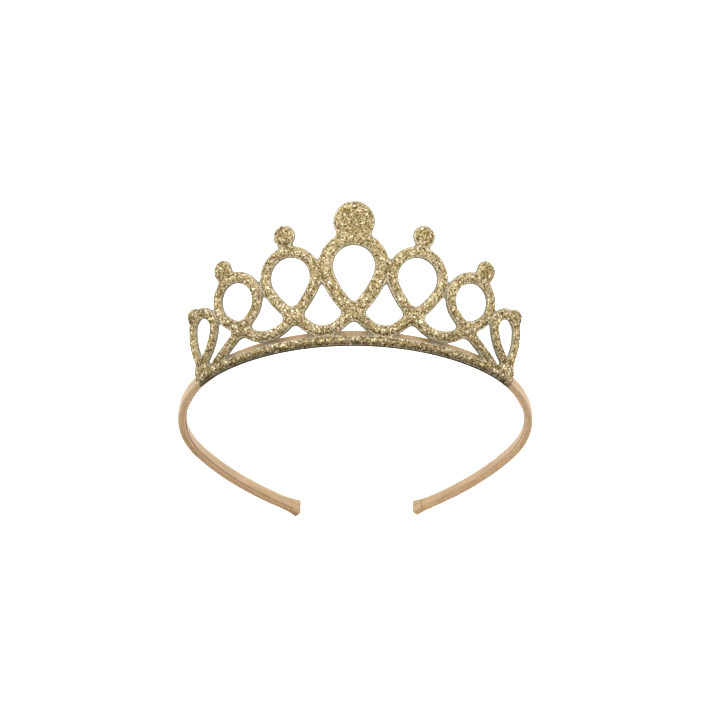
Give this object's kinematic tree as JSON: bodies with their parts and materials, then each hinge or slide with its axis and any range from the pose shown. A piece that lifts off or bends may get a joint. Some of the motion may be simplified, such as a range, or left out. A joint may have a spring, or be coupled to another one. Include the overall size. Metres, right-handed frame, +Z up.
{
  "type": "tiara headband",
  "caption": "Open C-shaped sprung headband bound in gold satin ribbon, with a padded glitter tiara of looped strands and round beads glued across its front.",
  "frame": {"origin": "on the surface the headband lies on, under the middle of its box", "axes": "+Z up with the band lying flat, -Y towards the tiara at the front, +Y towards the open tips, +X along the width"},
  "size_m": [0.1392, 0.1676, 0.0501],
  "materials": {
    "band_plastic": "moulded springy plastic strip, hidden under ribbon",
    "satin": "beige-gold satin ribbon with a soft lengthwise sheen",
    "glitter": "coarse gold glitter fabric",
    "felt": "thin felt",
    "foam": "soft wadding",
    "hot_melt": "cloudy hot-melt glue"
  },
  "bodies": {
    "headband": {"band_core": "band_plastic", "front_ribbon": "satin", "tiara_backing": "felt", "tiara_padding": "foam", "tiara_face": "glitter", "tiara_glue": "hot_melt"},
    "left_arm": {"left_arm_core": "band_plastic", "left_arm_ribbon": "satin", "left_end_tab": "satin"},
    "right_arm": {"right_arm_core": "band_plastic", "right_arm_ribbon": "satin", "right_end_tab": "satin"}
  },
  "joints": [
    {"name": "left_arm_flex", "type": "hinge", "parent": "headband", "child": "left_arm", "pos_m": [-0.06258, -0.02211, 0.0044], "axis": [0, 0, 1], "range_deg": [-5, 16], "stiffness_Nm_per_rad": 0.4},
    {"name": "right_arm_flex", "type": "hinge", "parent": "headband", "child": "right_arm", "pos_m": [0.06258, -0.02211, 0.0044], "axis": [0, 0, -1], "range_deg": [-5, 16], "stiffness_Nm_per_rad": 0.4}
  ]
}
